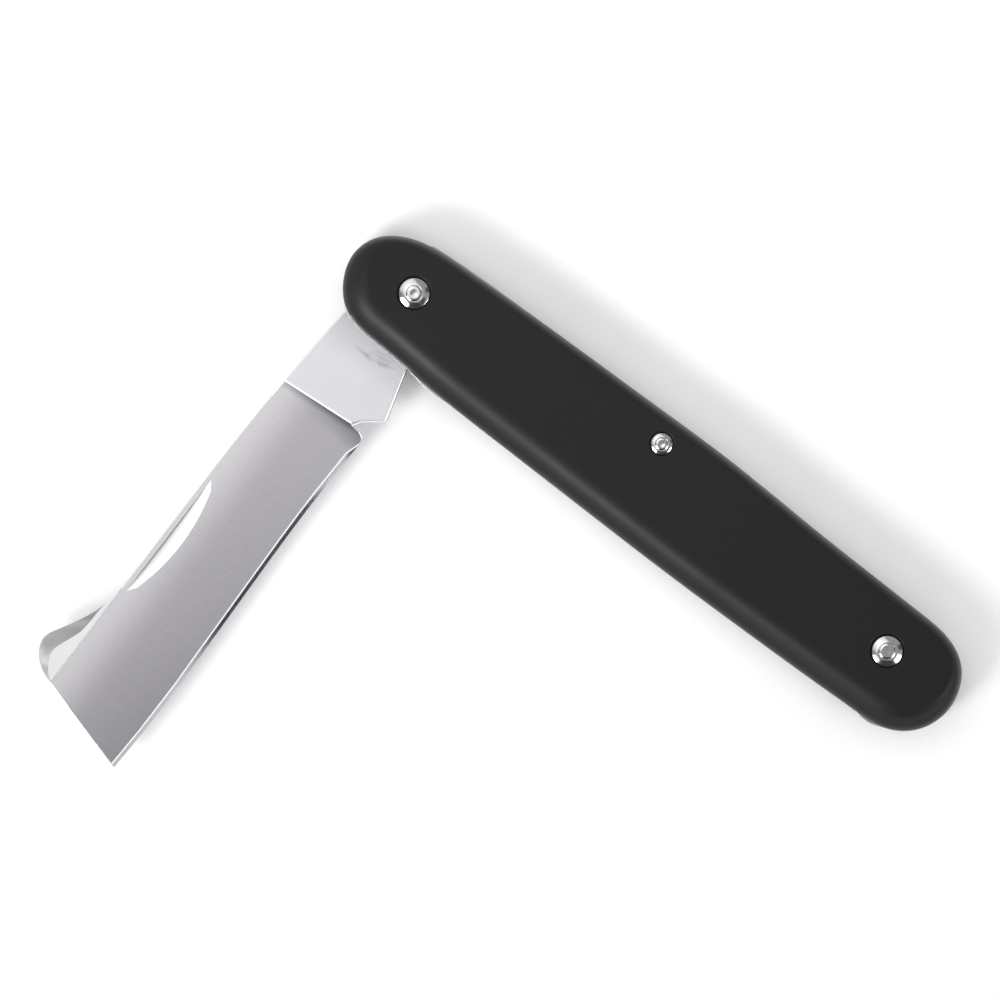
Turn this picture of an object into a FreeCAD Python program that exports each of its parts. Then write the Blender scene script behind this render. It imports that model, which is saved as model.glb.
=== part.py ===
import FreeCAD, Part

import math
import os

from FreeCAD import Vector

# Budding knife, half open, in millimetres.
# X runs along the handle from the pivot to the butt, Y towards the back of the handle, Z up.
# The knife lies on its back scale. The origin is on that scale's flat face, midway along the
# handle and on the line through the pivot pin and the end pin.
# The pieces are drawn from the pivot axis and moved to the origin when they are written.

# Handle
handle_length = 100.0
front_reach = 9.7             # pivot axis to the front end
back_height = 7.67            # pin line to the highest point of the back
belly_depth = 9.43            # pin line to the lowest point of the belly
butt_reach = 11.3             # end pin's axis to the butt
middle_pin_share = 0.486      # the middle pin's place between the pivot and the end pin
middle_pin_height = 3.9       # above the line through them

# Outline of the handle. First number: distance from the front end, as a share of the length.
# Second number: share of back_height above the pin line, or of belly_depth below it.
back_outline_shares = [
    (0.0100, 0.348), (0.0330, 0.628), (0.0700, 0.811), (0.1270, 0.886), (0.2970, 0.953),
    (0.4300, 0.981), (0.5670, 1.000), (0.6970, 0.940), (0.8170, 0.903), (0.8970, 0.883),
    (0.9390, 0.834), (0.9770, 0.589), (0.9985, 0.060),
]
belly_outline_shares = [
    (0.9980, 0.283), (0.9770, 0.690), (0.9440, 0.893), (0.8970, 0.944), (0.8300, 0.964),
    (0.7500, 0.981), (0.5900, 1.000), (0.4300, 0.984), (0.2970, 0.966), (0.1770, 0.932),
    (0.0970, 0.884), (0.0570, 0.843), (0.0310, 0.710), (0.0090, 0.424), (0.0000, 0.064),
]

# Layers, from the back face of the knife to its front face
scale_thickness = 4.0
liner_thickness = 1.1
blade_thickness = 1.8
blade_side_gap = 0.05         # running gap between the tang and each liner
scale_wall = 1.4              # upright band left below the rounding of each scale

# Pins and their domed washers
large_shank_radius = 1.0      # pivot and end pins
small_shank_radius = 0.8      # middle pin
large_washer_radius = 2.1
small_washer_radius = 1.45
washer_rim_height = 0.53
washer_crest_height = 0.7
washer_land = 0.2             # flat ring round the hole, under the pin's head
head_overlap = 0.12           # a peened head is this much wider than its shank
head_rim_height = 0.03
head_height = 0.08
head_dimple_depth = 0.03
head_crown_share = 0.6        # the head is highest at this share of its radius
seat_depth = 0.8              # depth of the seat that a washer lies in
seat_gap = 0.2                # gap round a washer in its seat
pin_running_gap = 0.03        # pivot pin in the blade
pin_fixed_gap = 0.02          # pins in the liners, the spring and the washers
pin_scale_gap = 0.06          # pins in the scales

# Backspring
nose_front = 2.0              # the nose passes this far in front of the pivot axis
nose_height = 3.9             # pivot axis to the inner face of the nose
nose_length = 4.6
nose_lift = 0.25              # the nose stands proud of the back while the blade is half open
nose_corner_radius = 0.3
waist_reach = 17.5            # pivot axis to the thinnest place of the free arm
waist_thickness = 1.8
boss_depth = 1.7              # middle pin's axis to the inner edge
flush_reach = 17.0            # flush with the scales from this far before the end pin's axis
tail_inner_reach = 3.3        # end of the blade slot to the end pin's axis
tail_belly_reach = 1.7        # end pin's axis to the slot's end at the belly
lift_line_shares = (0.0, 0.08, 0.2, 0.4, 0.6, 0.8)    # places along the free arm

# Blade. Lengths run along it from the pivot axis. Heights are on the spine's side of that axis,
# and depths are on the edge's side.
open_angle = 90.3             # from the handle's direction, as photographed
closed_tilt = 8.0             # the folded blade dips this much from the handle's direction
cam_gap = 0.05                # between the tang's round and the nose
cam_flat_drop = 0.25          # the two resting flats lie this far inside the round
stop_gap = 0.1                # between the tang's shoulder and the nose, when open
shoulder_corner_radius = 0.4
rest_flat_run = 4.86          # the folded blade's flat goes on this far past the pivot
spine_height = 7.2
spine_bend_radius = 300.0
spine_straight_start = 34.8
kick_length = 15.8
kick_depth = 7.45
kick_radius = 0.6
notch_bend_run = 2.0          # kick to the bend before the notch, along the blade
notch_bend_rise = 0.75        # the notch's bottom to that bend, across the blade
notch_run = 1.35              # that bend to the notch's bottom, along the blade
heel_depth = 6.41
heel_drop = 2.16              # the notch's bottom to the heel
heel_radius = 1.15
edge_hollow_share = 0.1235    # place along the edge where it is hollow
edge_hollow_rise = 0.26       # above the heel
edge_belly_share = 0.6826     # place along the edge where it is deepest
edge_belly_drop = 0.28        # below the heel
tip_drop = 0.12               # below the heel
tip_gap = 1.1                 # tip to the end of the slot, along the blade
end_cut_lean = 3.85           # the end cut's spine end to the tip, along the blade
end_cut_bulge = 0.1

# Grinding of the blade
plunge_lean = 0.95            # from the notch to the spine, along the blade
grind_spine_recess = 0.3      # below the tang's face, at the spine
grind_edge_thickness = 0.3    # behind the sharpened edge
edge_bevel_width = 0.45
edge_land = 0.05              # thickness left at the very edge

# Bark lifter on the spine, up to the end cut. First number: share of its length along the spine.
# Second number: share of its rise above the spine.
lifter_length = 15.95
lifter_rise = 4.29
lifter_rim_thickness = 0.3
lifter_flat_start_share = 0.01
lifter_rim_shares = [
    (0.207, 0.117), (0.345, 0.296), (0.476, 0.529), (0.608, 0.809), (0.700, 0.975),
    (0.755, 0.995), (0.809, 0.939), (0.878, 0.783), (0.947, 0.480), (1.000, 0.000),
]
lifter_flat_shares = [
    (0.207, 0.105), (0.300, 0.140), (0.408, 0.150), (0.520, 0.205), (0.621, 0.345),
    (0.690, 0.448), (0.777, 0.524), (0.859, 0.431), (0.928, 0.270), (0.985, 0.000),
]

# Nail nick in the front face, cut by a tapered wheel
nick_setback = 9.2            # its middle to the start of the lifter
nick_chord = 18.6
nick_spine_gap = 0.95         # spine to its straight, deep side
nick_width = 1.55
nick_depth = 0.5

overrun = 1.0                 # cutting shapes reach this far past what they cut
match = 0.001                 # places closer than this are the same

# Places along the handle
end_pin_x = handle_length - front_reach - butt_reach
middle_pin_x = end_pin_x * middle_pin_share
slot_end_x = end_pin_x - tail_inner_reach

# Places on the blade
notch_bend_length = kick_length + notch_bend_run
notch_length = notch_bend_length + notch_run
notch_depth = heel_depth - heel_drop
tip_length = slot_end_x - tip_gap
end_cut_length = tip_length - end_cut_lean
lifter_start = end_cut_length - lifter_length
edge_belly_depth = heel_depth + edge_belly_drop

# Heights of the layers
slot_width = blade_thickness + 2 * blade_side_gap
slot_z = scale_thickness + liner_thickness
front_liner_z = slot_z + slot_width
front_scale_z = front_liner_z + liner_thickness
total_thickness = front_scale_z + scale_thickness
blade_middle_z = slot_z + slot_width / 2

up = Vector(0, 0, 1)
pins = {
    "pivot": (Vector(0, 0, 0), large_shank_radius, large_washer_radius),
    "middle": (Vector(middle_pin_x, middle_pin_height, 0), small_shank_radius, small_washer_radius),
    "end": (Vector(end_pin_x, 0, 0), large_shank_radius, large_washer_radius),
}


def spline(points):
    """An open smooth curve through the points, as an edge."""
    curve = Part.BSplineCurve()
    curve.interpolate(Points=points)
    return curve.toShape()


def line(start, end):
    """A straight edge."""
    return Part.LineSegment(start, end).toShape()


def arc(start, middle, end):
    """A round edge through three points."""
    return Part.Arc(start, middle, end).toShape()


def plate(edges, bottom, thickness):
    """A flat plate with the outline that the edges close."""
    face = Part.Face(Part.Wire(Part.__sortEdges__(edges)))
    face.translate(up * bottom)
    return face.extrude(up * thickness)


def round_upright(shape, corners):
    """The shape with its upright edges rounded, each corner a point and a radius."""
    for point, radius in corners:
        edges = []
        for edge in shape.Edges:
            ends = [vertex.Point for vertex in edge.Vertexes]
            if all(math.hypot(end.x - point.x, end.y - point.y) < match for end in ends):
                edges.append(edge)
        shape = shape.makeFillet(radius, edges)
    return shape


def drill_for_pins(shape, gap):
    """The shape with a hole right through it for each pin."""
    for place, shank, washer in pins.values():
        depth = total_thickness + 2 * overrun
        shape = shape.cut(Part.makeCylinder(shank + gap, depth, place - up * overrun))
    return shape


def handle_outline():
    """The closed curve of the handle's outline, from the front end over the back."""
    back = [Vector(x * handle_length, y * back_height, 0) for x, y in back_outline_shares]
    belly = [Vector(x * handle_length, -y * belly_depth, 0) for x, y in belly_outline_shares]
    curve = Part.BSplineCurve()
    curve.interpolate(Points=back + belly, PeriodicFlag=True)
    curve.translate(Vector(-front_reach, 0, 0))
    return curve


def outline_edges():
    """The handle's outline as four edges that run smoothly into each other."""
    curve = handle_outline()
    start, quarter = curve.FirstParameter, (curve.LastParameter - curve.FirstParameter) / 4
    return [curve.toShape(start + i * quarter, start + (i + 1) * quarter) for i in range(4)]


def outline_point(x, side):
    """The outline's point at x, on the back for a side of 1 and on the belly for -1."""
    reach = 2 * max(back_height, belly_depth)
    across = Part.LineSegment(Vector(x, 0, 0), Vector(x, side * reach, 0))
    found = handle_outline().intersect(across)[0]
    return Vector(found.X, found.Y, 0)


def scale(bottom, facing):
    """A moulded scale, rounded round its outer face, with a seat for each washer."""
    body = plate(outline_edges(), bottom, scale_thickness)
    outer_z = bottom + scale_thickness if facing > 0 else bottom
    rim = []
    for edge in body.Edges:
        if max(abs(edge.BoundBox.ZMin - outer_z), abs(edge.BoundBox.ZMax - outer_z)) < match:
            rim.append(edge)
    body = body.makeFillet(scale_thickness - scale_wall, rim)
    for place, shank, washer in pins.values():
        floor = place + up * (outer_z - facing * seat_depth)
        depth = seat_depth + overrun
        body = body.cut(Part.makeCylinder(washer + seat_gap, depth, floor, up * facing))
    return drill_for_pins(body, pin_scale_gap)


def liner(bottom):
    """A metal liner, flush with the scales."""
    body = plate(outline_edges(), bottom, liner_thickness)
    return drill_for_pins(body, pin_fixed_gap)


def spring_back():
    """The spring's outer side: the free arm, lifted at the nose, then flush round the butt."""
    flush_x = end_pin_x - flush_reach
    reach = flush_x + nose_front
    points = []
    for share in lift_line_shares:
        lift = nose_lift * (1 - share) ** 3
        points.append(outline_point(share * reach - nose_front, 1) + Vector(0, lift, 0))
    joint = outline_point(flush_x, 1)
    belly_end = outline_point(end_pin_x + tail_belly_reach, -1)
    outline = handle_outline()
    butt = outline.toShape(outline.parameter(joint), outline.parameter(belly_end))
    return [spline(points + [joint]), butt], points[0], belly_end


def backspring():
    """The spring: a nose over the tang, a thin arm, and metal round the middle and end pins."""
    back, nose_top, belly_end = spring_back()
    nose_low = Vector(-nose_front, nose_height, 0)
    nose_end = Vector(nose_length - nose_front, nose_height, 0)
    waist_y = outline_point(waist_reach, 1).y - waist_thickness
    boss_y = middle_pin_height - boss_depth
    inner = spline([
        nose_end,
        Vector(waist_reach, waist_y, 0),
        Vector(middle_pin_x, boss_y, 0),
        Vector((middle_pin_x + slot_end_x) / 2, boss_y - boss_depth / 3, 0),
        Vector(slot_end_x, -boss_depth, 0),
        belly_end,
    ])
    edges = back + [line(nose_top, nose_low), line(nose_low, nose_end), inner]
    body = plate(edges, slot_z, slot_width)
    corners = [(nose_top, nose_corner_radius), (nose_low, nose_corner_radius)]
    return drill_for_pins(round_upright(body, corners), pin_fixed_gap)


def blade_point(length, height):
    """A point of the blade as drawn: folded along X, with its spine towards -Y."""
    return Vector(length, -height, 0)


def spine_at(length):
    """Height of the spine at a length, on its long bend or its straight stretch."""
    before = max(spine_straight_start - length, 0)
    return spine_height - spine_bend_radius + math.sqrt(spine_bend_radius ** 2 - before ** 2)


def tang_edges():
    """The tang's outline, from the spine round the pivot to the kick, and its corner points."""
    cam_radius = nose_height - cam_gap
    flat = cam_radius - cam_flat_drop
    stop = nose_front + stop_gap
    half_turn = math.degrees(math.acos(flat / cam_radius))

    def polar(radius, degrees):
        turn = math.radians(degrees)
        return Vector(radius * math.cos(turn), radius * math.sin(turn), 0)

    shoulder = blade_point(stop, spine_at(stop))
    shoulder_foot = blade_point(stop, flat)
    cam_start = polar(cam_radius, -90 - half_turn)
    cam_end = polar(cam_radius, 90 + closed_tilt + half_turn)
    flat_end = polar(flat, 90 + closed_tilt) + polar(rest_flat_run, closed_tilt)
    kick = blade_point(kick_length, -kick_depth)
    edges = [
        line(shoulder, shoulder_foot),
        line(shoulder_foot, cam_start),
        arc(cam_start, Vector(-cam_radius, 0, 0), cam_end),
        line(cam_end, flat_end),
        line(flat_end, kick),
    ]
    return edges, shoulder, kick


def blade_tip():
    """The sharp corner between the edge and the end cut."""
    return blade_point(tip_length, -heel_depth - tip_drop)


def edge_curve():
    """The cutting edge, from the heel to the tip."""
    length = tip_length - notch_length
    heel = blade_point(notch_length, -heel_depth)
    hollow_length = notch_length + length * edge_hollow_share
    hollow = blade_point(hollow_length, edge_hollow_rise - heel_depth)
    belly = blade_point(notch_length + length * edge_belly_share, -edge_belly_depth)
    return spline([heel, hollow, belly, blade_tip()])


def blade_plate():
    """The blade as cut from sheet, without its lifter."""
    tang, shoulder, kick = tang_edges()
    bend = blade_point(notch_bend_length, -notch_depth - notch_bend_rise)
    notch = blade_point(notch_length, -notch_depth)
    heel = blade_point(notch_length, -heel_depth)
    tip = blade_tip()
    end_top = blade_point(end_cut_length, spine_height)
    end_middle = (tip + end_top) / 2 + up.cross(end_top - tip).normalize() * end_cut_bulge
    straight_start = blade_point(spine_straight_start, spine_height)
    bend_length = (spine_straight_start + shoulder.x) / 2
    bend_middle = blade_point(bend_length, spine_at(bend_length))
    edges = tang + [
        line(kick, bend),
        line(bend, notch),
        line(notch, heel),
        edge_curve(),
        arc(tip, end_middle, end_top),
        line(end_top, straight_start),
        arc(straight_start, bend_middle, shoulder),
    ]
    body = plate(edges, -blade_thickness / 2, blade_thickness)
    corners = [(shoulder, shoulder_corner_radius), (kick, kick_radius), (heel, heel_radius)]
    return round_upright(body, corners)


def both_faces(shape):
    """The shape for the front face and its mirror image for the back face."""
    return [shape, shape.mirror(Vector(0, 0, 0), up)]


def grind_slope():
    """Slope of each ground face, from the spine down to the edge."""
    edge_recess = (blade_thickness - grind_edge_thickness) / 2
    return (edge_recess - grind_spine_recess) / (spine_height + edge_belly_depth)


def grind_cutter():
    """What grinding takes from the front face, from the plunge line to past the tip."""
    spine_side = blade_point(notch_length + plunge_lean, spine_height)
    edge_side = blade_point(notch_length, -notch_depth)
    past = (edge_side - spine_side).normalize() * 2 * edge_belly_depth
    far_x = tip_length + 2 * overrun
    corners = [spine_side - past, edge_side + past]
    corners += [Vector(far_x, corners[1].y, 0), Vector(far_x, corners[0].y, 0)]
    outline = Part.makePolygon(corners + corners[:1])
    body = plate(outline.Edges, 0, blade_thickness)
    hinge = Vector(0, -spine_height, 0)
    body.rotate(hinge, Vector(1, 0, 0), -math.degrees(math.atan(grind_slope())))
    body.translate(up * (blade_thickness / 2 - grind_spine_recess))
    return body


def edge_bevel_cutter():
    """What sharpening takes from the front face, along the edge."""
    path = edge_curve()
    start = path.Vertexes[0].Point
    along = path.tangentAt(path.FirstParameter)
    outward = up.cross(along)
    if outward.y < 0:
        outward = -outward
    slope = (grind_edge_thickness - edge_land) / 2 / edge_bevel_width
    low = start + outward * overrun + up * (edge_land / 2 - slope * overrun)
    inner_width = edge_bevel_width + overrun
    high_z = edge_land / 2 + slope * inner_width
    high = start - outward * inner_width + up * high_z
    corner = start + outward * overrun + up * high_z
    sweep = Part.BRepOffsetAPI.MakePipeShell(Part.Wire([path]))
    sweep.setBiNormalMode(up)
    sweep.add(Part.makePolygon([low, high, corner, low]))
    sweep.build()
    sweep.makeSolid()
    return sweep.shape()


def lifter_wire(start_share, shares, z):
    """A closed wire round the lifter at height z, standing on the spine."""
    points = [blade_point(lifter_start + start_share * lifter_length, spine_height)]
    for along, rise in shares:
        length = lifter_start + along * lifter_length
        points.append(blade_point(length, spine_height + rise * lifter_rise))
    wire = Part.Wire([spline(points), line(points[-1], points[0])])
    wire.translate(up * z)
    return wire


def bark_lifter():
    """The raised hump on the spine, bevelled on both faces to a thin rim."""
    rim = lifter_wire(0, lifter_rim_shares, lifter_rim_thickness / 2)
    flat = lifter_wire(lifter_flat_start_share, lifter_flat_shares, blade_thickness / 2)
    bevelled = Part.makeLoft([rim, flat], True, True)
    outline = lifter_wire(0, lifter_rim_shares, 0).Edges
    middle = plate(outline, -lifter_rim_thickness / 2, lifter_rim_thickness)
    return middle.fuse(both_faces(bevelled))


def nick_cutter():
    """The tapered wheel that cuts the nail nick."""
    radius = (nick_chord ** 2 / 4 + nick_depth ** 2) / (2 * nick_depth)
    taper = nick_depth / nick_width - grind_slope()
    face_z = blade_thickness / 2 - grind_spine_recess - nick_spine_gap * grind_slope()
    width = nick_width + overrun
    centre = blade_point(lifter_start - nick_setback, spine_height - nick_spine_gap)
    centre.z = face_z + radius - nick_depth
    return Part.makeCone(radius, radius - taper * width, width, centre, Vector(0, 1, 0))


def blade():
    """The blade, swung open about the pivot pin to the photographed angle."""
    body = blade_plate().cut(both_faces(grind_cutter()))
    body = body.cut(both_faces(edge_bevel_cutter()))
    body = body.fuse(bark_lifter()).removeSplitter()
    body = body.cut(nick_cutter())
    hole = large_shank_radius + pin_running_gap
    body = body.cut(Part.makeCylinder(hole, 2 * blade_thickness, -up * blade_thickness))
    body.rotate(Vector(0, 0, 0), up, -open_angle)
    body.translate(up * blade_middle_z)
    return body


def turned(edges, place, z, facing):
    """A round piece turned from its half section, standing at z and facing up or down."""
    piece = Part.Face(Part.Wire(edges)).revolve(Vector(0, 0, 0), up, 360)
    if facing < 0:
        piece.rotate(Vector(0, 0, 0), Vector(1, 0, 0), 180)
    piece.translate(place + up * z)
    return piece


def dome(inner, inner_z, outer, outer_z):
    """An arc in a half section, level at its inner end and falling to its outer end."""
    width, fall = outer - inner, inner_z - outer_z
    radius = (width ** 2 + fall ** 2) / (2 * fall)
    half = math.atan2(width, radius - fall) / 2
    middle = Vector(inner + radius * math.sin(half), 0, inner_z - radius * (1 - math.cos(half)))
    return arc(Vector(inner, 0, inner_z), middle, Vector(outer, 0, outer_z))


def washer(name, facing):
    """A domed washer in its seat in a scale."""
    place, shank, radius = pins[name]
    hole = shank + pin_fixed_gap
    land = hole + washer_land
    edges = [
        line(Vector(hole, 0, 0), Vector(hole, 0, washer_crest_height)),
        line(Vector(hole, 0, washer_crest_height), Vector(land, 0, washer_crest_height)),
        dome(land, washer_crest_height, radius, washer_rim_height),
        line(Vector(radius, 0, washer_rim_height), Vector(radius, 0, 0)),
        line(Vector(radius, 0, 0), Vector(hole, 0, 0)),
    ]
    z = total_thickness - seat_depth if facing > 0 else seat_depth
    return turned(edges, place, z, facing)


def pin(name):
    """A pin through the whole knife, with a peened head on each outer washer."""
    place, shank, washer_radius = pins[name]
    head = shank + head_overlap
    crown = head * head_crown_share
    crest_z = seat_depth - washer_crest_height
    body = Part.makeCylinder(shank, total_thickness - 2 * crest_z, place + up * crest_z)
    dimple_z = head_height - head_dimple_depth
    sag = (head_height + dimple_z) / 2 - head_dimple_depth / 4
    edges = [
        line(Vector(0, 0, 0), Vector(0, 0, dimple_z)),
        arc(Vector(0, 0, dimple_z), Vector(crown / 2, 0, sag), Vector(crown, 0, head_height)),
        dome(crown, head_height, head, head_rim_height),
        line(Vector(head, 0, head_rim_height), Vector(head, 0, 0)),
        line(Vector(head, 0, 0), Vector(0, 0, 0)),
    ]
    front = turned(edges, place, total_thickness - crest_z, 1)
    back = turned(edges, place, crest_z, -1)
    return body.fuse([front, back]).removeSplitter()


def pieces():
    """Every piece of the knife under its name."""
    found = {
        "front_scale": scale(front_scale_z, 1),
        "back_scale": scale(0, -1),
        "front_liner": liner(front_liner_z),
        "back_liner": liner(scale_thickness),
        "backspring": backspring(),
        "blade": blade(),
    }
    for name in pins:
        found[name + "_pin"] = pin(name)
        found["front_" + name + "_washer"] = washer(name, 1)
        found["back_" + name + "_washer"] = washer(name, -1)
    return found


os.makedirs("parts", exist_ok=True)
for piece_name, shape in pieces().items():
    shape.translate(Vector(front_reach - handle_length / 2, 0, 0))
    shape.exportStep("parts/" + piece_name + ".step")
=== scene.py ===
"""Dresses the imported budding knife: scales, liners, spring, blade, washers and pins, on a pale table."""
import functools
import logging
import math
from dataclasses import dataclass, field
from enum import Enum
from typing import Any, Iterable, Sequence

import bmesh
import bpy
import numpy as np
from mathutils import Matrix, Vector


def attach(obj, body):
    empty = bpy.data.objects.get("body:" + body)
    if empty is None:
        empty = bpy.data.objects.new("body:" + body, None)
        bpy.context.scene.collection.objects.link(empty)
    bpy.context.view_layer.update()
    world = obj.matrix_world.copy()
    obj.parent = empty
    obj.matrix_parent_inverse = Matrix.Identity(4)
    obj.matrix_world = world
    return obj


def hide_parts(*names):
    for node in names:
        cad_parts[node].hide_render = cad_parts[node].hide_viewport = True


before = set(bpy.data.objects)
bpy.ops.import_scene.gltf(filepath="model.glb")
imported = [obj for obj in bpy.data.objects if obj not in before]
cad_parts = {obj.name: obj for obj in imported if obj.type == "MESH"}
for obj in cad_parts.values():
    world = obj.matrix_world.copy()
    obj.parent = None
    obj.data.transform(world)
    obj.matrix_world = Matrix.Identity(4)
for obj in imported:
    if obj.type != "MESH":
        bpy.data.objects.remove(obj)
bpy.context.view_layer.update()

MM = 0.001
SAME = 1e-3             # millimetres: places closer than this are one place
ROUND_STEPS = 72        # faces round a turned piece

log = logging.getLogger("budding_knife")

Point = tuple[float, float]
Quad = tuple[float, float, float, float]
Tree, Node, Socket = bpy.types.NodeTree, bpy.types.Node, bpy.types.NodeSocket
Material, Piece = bpy.types.Material, bpy.types.Object
Mesh, Vert, Edge, Face = bmesh.types.BMesh, bmesh.types.BMVert, bmesh.types.BMEdge, bmesh.types.BMFace


class Side(Enum):
    """The two sides of the knife: FRONT faces the viewer, BACK lies on the table."""

    FRONT = 1
    BACK = -1


class Zone(Enum):
    """The parts of the blade's surface that are finished in different ways."""

    TANG = 0
    GROUND = 1
    HONED = 2
    LIFTER = 3
    NICK = 4
    SPINE = 5
    PLUNGE = 6
    FLANK = 7
    FLAT = 8
    WIRE = 9


@dataclass(frozen=True)
class PinPlace:
    """Where a pin stands, in millimetres from the pivot, and the radii of its shank and washers."""

    name: str
    x: float
    y: float
    shank: float
    washer: float

    def at(self, z: float = 0.0) -> Vector:
        """The point of the pin's axis at height z."""
        return Vector((self.x, self.y, z))


@dataclass(frozen=True)
class Layout:
    """The knife's layers and places, in millimetres, drawn from the pivot axis.

    Heights are above the table. The outline runs from the front end over the back to the butt and
    returns along the belly, as a share of the length and of the reach above or below the pin line.
    """

    length: float = 100.0
    front_reach: float = 9.7
    back_height: float = 7.67
    belly_depth: float = 9.43
    scale: float = 4.0
    liner: float = 1.1
    slot: float = 1.9
    open_angle: float = 90.3
    pins: tuple[PinPlace, ...] = (
        PinPlace("pivot", 0.0, 0.0, 1.0, 2.1),
        PinPlace("middle", 38.394, 3.9, 0.8, 1.45),
        PinPlace("end", 79.0, 0.0, 1.0, 2.1),
    )
    back: tuple[Point, ...] = (
        (0.0100, 0.348), (0.0330, 0.628), (0.0700, 0.811), (0.1270, 0.886), (0.2970, 0.953),
        (0.4300, 0.981), (0.5670, 1.000), (0.6970, 0.940), (0.8170, 0.903), (0.8970, 0.883),
        (0.9390, 0.834), (0.9770, 0.589), (0.9985, 0.060),
    )
    belly: tuple[Point, ...] = (
        (0.9980, 0.283), (0.9770, 0.690), (0.9440, 0.893), (0.8970, 0.944), (0.8300, 0.964),
        (0.7500, 0.981), (0.5900, 1.000), (0.4300, 0.984), (0.2970, 0.966), (0.1770, 0.932),
        (0.0970, 0.884), (0.0570, 0.843), (0.0310, 0.710), (0.0090, 0.424), (0.0000, 0.064),
    )

    @property
    def total(self) -> float:
        """The knife's whole thickness."""
        return 2 * (self.scale + self.liner) + self.slot

    @property
    def middle_z(self) -> float:
        """Height of the blade's middle plane."""
        return self.total / 2

    def outline(self, steps: int = 9) -> list[Point]:
        """The handle's outline as a closed run of points.

        Args:
            steps: points on each span between two given ones.

        Returns:
            Points in millimetres from the pivot axis.
        """
        given = [(x * self.length - self.front_reach, y * self.back_height) for x, y in self.back]
        given += [(x * self.length - self.front_reach, -y * self.belly_depth) for x, y in self.belly]
        return closed_curve(given, steps)

    @property
    def tipwards(self) -> Vector:
        """The direction along the open blade from the pivot to its tip."""
        turn = math.radians(self.open_angle)
        return Vector((math.cos(turn), -math.sin(turn), 0))

    @property
    def spinewards(self) -> Vector:
        """The direction across the blade from its edge to its spine."""
        turn = math.radians(self.open_angle)
        return Vector((-math.sin(turn), -math.cos(turn), 0))

    def to_model(self) -> Matrix:
        """Turns millimetres from the pivot axis into the model's metres."""
        shift = Matrix.Translation((self.front_reach - self.length / 2, 0, 0))
        return Matrix.Scale(MM, 4) @ shift


LAYOUT = Layout()


def closed_curve(given: Sequence[Point], steps: int) -> list[Point]:
    """Follows the smooth closed curve through some points.

    Args:
        given: the points, in order.
        steps: how many points to return for each of them.

    Returns:
        Points along the periodic cubic through the given ones.
    """
    knots = np.array(given)
    count = len(knots)
    gaps = np.linalg.norm(np.roll(knots, -1, axis=0) - knots, axis=1)
    ahead = (np.roll(knots, -1, axis=0) - knots) / gaps[:, None]
    system = np.zeros((count, count))
    for i in range(count):
        system[i, i - 1] = gaps[i - 1]
        system[i, i] = 2 * (gaps[i - 1] + gaps[i])
        system[i, (i + 1) % count] = gaps[i]
    bend = np.linalg.solve(system, 6 * (ahead - np.roll(ahead, 1, axis=0)))
    found = []
    for i in range(count):
        gap, here, there = gaps[i], bend[i], bend[(i + 1) % count]
        slope = ahead[i] - gap * (2 * here + there) / 6
        for t in np.arange(steps) * gap / steps:
            place = knots[i] + slope * t + here * t ** 2 / 2 + (there - here) * t ** 3 / (6 * gap)
            found.append((float(place[0]), float(place[1])))
    return found


def arc_points(start: Point, end: Point, bulge: float, steps: int) -> list[Point]:
    """Points on a shallow arc from start to end.

    Args:
        start: first point, as radius and height.
        end: last point.
        bulge: how far the arc's middle stands out to the left of the straight line.
        steps: how many points to return after the first.

    Returns:
        The points without the first.
    """
    chord = Vector(end) - Vector(start)
    left = Vector((-chord.y, chord.x)).normalized()
    found = []
    for i in range(1, steps + 1):
        share = i / steps
        place = Vector(start) + chord * share + left * bulge * 4 * share * (1 - share)
        found.append((place.x, place.y))
    return found


# Finishes


def linear(code: str) -> Quad:
    """The linear colour of an sRGB hex code such as #a0b1c2."""
    channels = [int(code[i:i + 2], 16) / 255 for i in (1, 3, 5)]
    lit = [c / 12.92 if c <= 0.04045 else ((c + 0.055) / 1.055) ** 2.4 for c in channels]
    return (lit[0], lit[1], lit[2], 1.0)


def add_node(tree: Tree, kind: str, inputs: dict[Any, Any] | None = None,
             **settings: Any) -> Node:
    """Adds a node to a tree.

    Args:
        tree: the material's or world's nodes.
        kind: the node's type, without the ShaderNode that each begins with.
        inputs: values or sockets for its inputs, by name or number. A socket is linked.
        settings: the node's own properties.

    Returns:
        The new node.
    """
    node = tree.nodes.new("ShaderNode" + kind)
    for name, value in settings.items():
        setattr(node, name, value)
    for name, value in (inputs or {}).items():
        if isinstance(value, Socket):
            tree.links.new(value, node.inputs[name])
        else:
            node.inputs[name].default_value = value
    return node


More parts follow.
